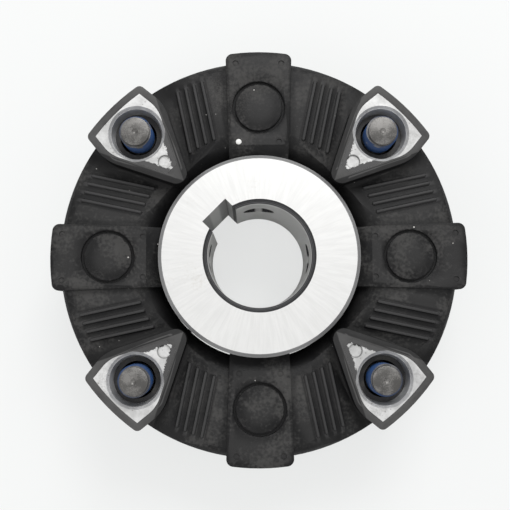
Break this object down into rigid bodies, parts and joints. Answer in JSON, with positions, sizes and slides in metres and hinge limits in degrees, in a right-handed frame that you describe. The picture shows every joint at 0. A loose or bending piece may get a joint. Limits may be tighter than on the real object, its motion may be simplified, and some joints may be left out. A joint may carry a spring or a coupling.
{
  "type": "flexible shaft coupling",
  "caption": "Round rubber flexible shaft coupling with cast lug inserts, axial and radial socket head screws and a keyed steel hub.",
  "frame": {"origin": "on the shaft axis, in the plane of the hub's end face that the coupling stands on", "axes": "+Z along the shaft axis, from the hub's standing face towards the ends of the axial screws; +X and +Y along two of the radial arms"},
  "size_m": [0.2606, 0.2606, 0.0908],
  "materials": {
    "rubber": "matte moulded",
    "cast_aluminium": "as cast and cleaned",
    "hub_steel": "turned and ground",
    "black_steel": "black oxide",
    "screw_steel": "black oxide, oiled"
  },
  "bodies": {
    "root": {"axial_insert_1": "cast_aluminium", "axial_insert_2": "cast_aluminium", "axial_insert_3": "cast_aluminium", "axial_insert_4": "cast_aluminium", "axial_screws": "screw_steel", "axial_sleeves": "black_steel", "flexible_element": "rubber", "hub": "hub_steel", "radial_insert_1": "cast_aluminium", "radial_insert_2": "cast_aluminium", "radial_insert_3": "cast_aluminium", "radial_insert_4": "cast_aluminium", "radial_screws": "screw_steel"}
  },
  "joints": []
}
